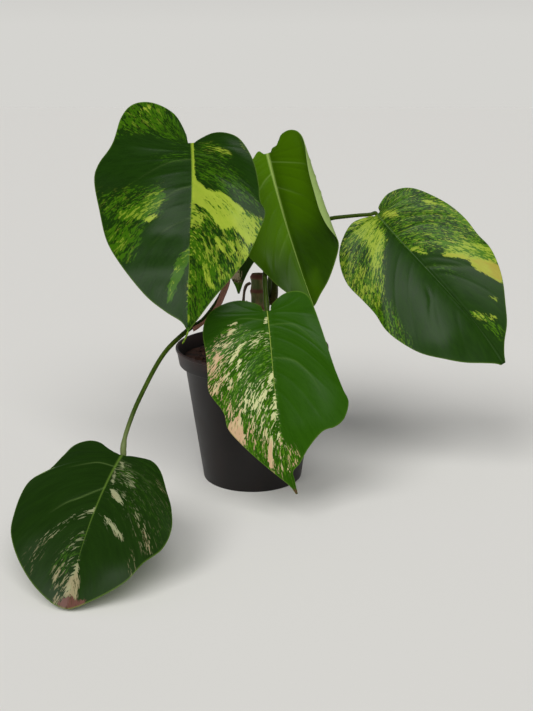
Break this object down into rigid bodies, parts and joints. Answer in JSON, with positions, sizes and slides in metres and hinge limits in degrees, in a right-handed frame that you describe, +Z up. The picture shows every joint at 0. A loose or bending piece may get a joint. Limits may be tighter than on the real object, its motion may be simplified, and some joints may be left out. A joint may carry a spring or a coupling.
{
  "type": "potted variegated monstera plant",
  "caption": "Young variegated monstera with heart-shaped marbled leaves on long arching stalks, a cut cane with a side shoot, and a tapered nursery pot filled with bark mix.",
  "frame": {"origin": "middle of the pot's underside, on the surface that it stands on", "axes": "+Z up; -Y toward the front, where the leaves look; +X to the viewer's right"},
  "size_m": [0.3665, 0.3152, 0.3155],
  "materials": {
    "pot_plastic": "moulded thin-wall nursery pot plastic, very dark brown, semi-matt",
    "bark_mix": "chunky bark chips, dry and rough",
    "cane": "green-brown woody cane with corky rings",
    "root": "grey-brown dry aerial root",
    "leaf_stalk": "smooth waxy green stalk with pale long streaks",
    "leaf_lime_marbled": "satin dark green leaf marbled with lime and yellow-green",
    "leaf_young": "satin bright yellow-green young leaf, pale underside",
    "leaf_cream_marbled": "satin green leaf streaked with cream",
    "papery_sheath": "dry papery pink-brown leaf sheath"
  },
  "bodies": {
    "root": {"pot": "pot_plastic", "potting_mix": "bark_mix", "stem": "cane", "aerial_root_left": "root", "aerial_root_rear": "root", "aerial_root_right": "root", "leaf_stalk_upper_left": "leaf_stalk", "leaf_stalk_upper_middle": "leaf_stalk", "leaf_stalk_right": "leaf_stalk", "leaf_stalk_lower_middle": "leaf_stalk", "leaf_stalk_lower_left": "leaf_stalk", "leaf_stalk_rear": "leaf_stalk", "leaf_blade_upper_left": "leaf_lime_marbled", "leaf_blade_upper_middle": "leaf_young", "leaf_blade_right": "leaf_lime_marbled", "leaf_blade_lower_middle": "leaf_cream_marbled", "leaf_blade_lower_left": "leaf_cream_marbled", "leaf_blade_rear": "leaf_lime_marbled", "dry_sheath": "papery_sheath"}
  },
  "joints": []
}
